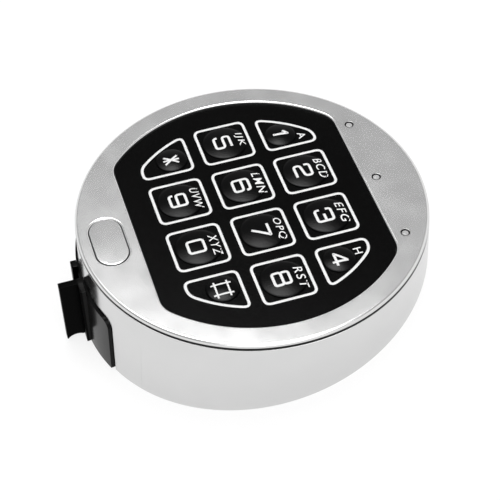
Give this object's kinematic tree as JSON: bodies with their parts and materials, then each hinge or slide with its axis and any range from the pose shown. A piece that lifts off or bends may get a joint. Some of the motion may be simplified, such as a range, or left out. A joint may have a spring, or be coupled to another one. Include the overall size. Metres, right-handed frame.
{
  "type": "safe lock keypad",
  "caption": "Round wedge-shaped entry keypad for a safe lock, with domed keys, indicator lights, an oval badge plate and a pull-out battery drawer.",
  "frame": {"origin": "the point of the flat back plane that the housing's axis passes through", "axes": "+Z out of the safe door, +Y to the top of the keypad, +X to its right; the face tilts 9.7 degrees about X towards +Y"},
  "size_m": [0.1058, 0.1162, 0.0331],
  "materials": {
    "satin_chrome": "satin",
    "gloss_panel": "gloss",
    "gloss_key": "gloss",
    "moulded_black": "matte",
    "drawer_black": "satin",
    "clear_lens": "gloss",
    "led_body": "satin",
    "board": "satin",
    "dome_film": "satin",
    "screw_steel": "satin",
    "insert_brass": "satin",
    "spring_nickel": "satin",
    "battery_jacket": "satin",
    "capacitor_sleeve": "satin",
    "lead_red": "satin",
    "lead_black": "satin"
  },
  "bodies": {
    "lock_body": {"badge_plate": "satin_chrome", "base_plate": "moulded_black", "base_screw_1": "screw_steel", "base_screw_2": "screw_steel", "base_screw_3": "screw_steel", "base_screw_4": "screw_steel", "battery_lead_black": "lead_black", "battery_lead_red": "lead_red", "board_screw_1": "screw_steel", "board_screw_2": "screw_steel", "board_screw_3": "screw_steel", "board_screw_4": "screw_steel", "buzzer": "moulded_black", "cable_socket": "moulded_black", "capacitor": "capacitor_sleeve", "circuit_board": "board", "contact_block": "moulded_black", "contact_spring_negative": "spring_nickel", "contact_spring_positive": "spring_nickel", "controller_chip": "moulded_black", "dome_sheet": "dome_film", "housing": "satin_chrome", "indicator_led_left": "led_body", "indicator_led_middle": "led_body", "indicator_led_right": "led_body", "keypad_panel": "gloss_panel", "light_pipe_left": "clear_lens", "light_pipe_middle": "clear_lens", "light_pipe_right": "clear_lens", "mount_insert_left": "insert_brass", "mount_insert_right": "insert_brass"},
    "drawer": {"battery_drawer": "drawer_black", "battery_case": "battery_jacket", "battery_positive_terminal": "spring_nickel", "battery_negative_terminal": "spring_nickel"},
    "key_1_cap": {"key_1": "gloss_key"},
    "key_2_cap": {"key_2": "gloss_key"},
    "key_3_cap": {"key_3": "gloss_key"},
    "key_4_cap": {"key_4": "gloss_key"},
    "key_5_cap": {"key_5": "gloss_key"},
    "key_6_cap": {"key_6": "gloss_key"},
    "key_7_cap": {"key_7": "gloss_key"},
    "key_8_cap": {"key_8": "gloss_key"},
    "key_star_cap": {"key_star": "gloss_key"},
    "key_9_cap": {"key_9": "gloss_key"},
    "key_0_cap": {"key_0": "gloss_key"},
    "key_hash_cap": {"key_hash": "gloss_key"}
  },
  "joints": [
    {"name": "drawer_slide", "type": "slide", "parent": "lock_body", "child": "drawer", "axis": [0, -1, 0], "range_m": [0, 0.0532]},
    {"name": "key_1_press", "type": "slide", "parent": "lock_body", "child": "key_1_cap", "axis": [0, -0.1685, -0.9857], "range_m": [0, 0.0004], "stiffness_N_per_m": 800, "deforming": ["dome_sheet"]},
    {"name": "key_2_press", "type": "slide", "parent": "lock_body", "child": "key_2_cap", "axis": [0, -0.1685, -0.9857], "range_m": [0, 0.0004], "stiffness_N_per_m": 800, "deforming": ["dome_sheet"]},
    {"name": "key_3_press", "type": "slide", "parent": "lock_body", "child": "key_3_cap", "axis": [0, -0.1685, -0.9857], "range_m": [0, 0.0004], "stiffness_N_per_m": 800, "deforming": ["dome_sheet"]},
    {"name": "key_4_press", "type": "slide", "parent": "lock_body", "child": "key_4_cap", "axis": [0, -0.1685, -0.9857], "range_m": [0, 0.0004], "stiffness_N_per_m": 800, "deforming": ["dome_sheet"]},
    {"name": "key_5_press", "type": "slide", "parent": "lock_body", "child": "key_5_cap", "axis": [0, -0.1685, -0.9857], "range_m": [0, 0.0004], "stiffness_N_per_m": 800, "deforming": ["dome_sheet"]},
    {"name": "key_6_press", "type": "slide", "parent": "lock_body", "child": "key_6_cap", "axis": [0, -0.1685, -0.9857], "range_m": [0, 0.0004], "stiffness_N_per_m": 800, "deforming": ["dome_sheet"]},
    {"name": "key_7_press", "type": "slide", "parent": "lock_body", "child": "key_7_cap", "axis": [0, -0.1685, -0.9857], "range_m": [0, 0.0004], "stiffness_N_per_m": 800, "deforming": ["dome_sheet"]},
    {"name": "key_8_press", "type": "slide", "parent": "lock_body", "child": "key_8_cap", "axis": [0, -0.1685, -0.9857], "range_m": [0, 0.0004], "stiffness_N_per_m": 800, "deforming": ["dome_sheet"]},
    {"name": "key_star_press", "type": "slide", "parent": "lock_body", "child": "key_star_cap", "axis": [0, -0.1685, -0.9857], "range_m": [0, 0.0004], "stiffness_N_per_m": 800, "deforming": ["dome_sheet"]},
    {"name": "key_9_press", "type": "slide", "parent": "lock_body", "child": "key_9_cap", "axis": [0, -0.1685, -0.9857], "range_m": [0, 0.0004], "stiffness_N_per_m": 800, "deforming": ["dome_sheet"]},
    {"name": "key_0_press", "type": "slide", "parent": "lock_body", "child": "key_0_cap", "axis": [0, -0.1685, -0.9857], "range_m": [0, 0.0004], "stiffness_N_per_m": 800, "deforming": ["dome_sheet"]},
    {"name": "key_hash_press", "type": "slide", "parent": "lock_body", "child": "key_hash_cap", "axis": [0, -0.1685, -0.9857], "range_m": [0, 0.0004], "stiffness_N_per_m": 800, "deforming": ["dome_sheet"]}
  ]
}
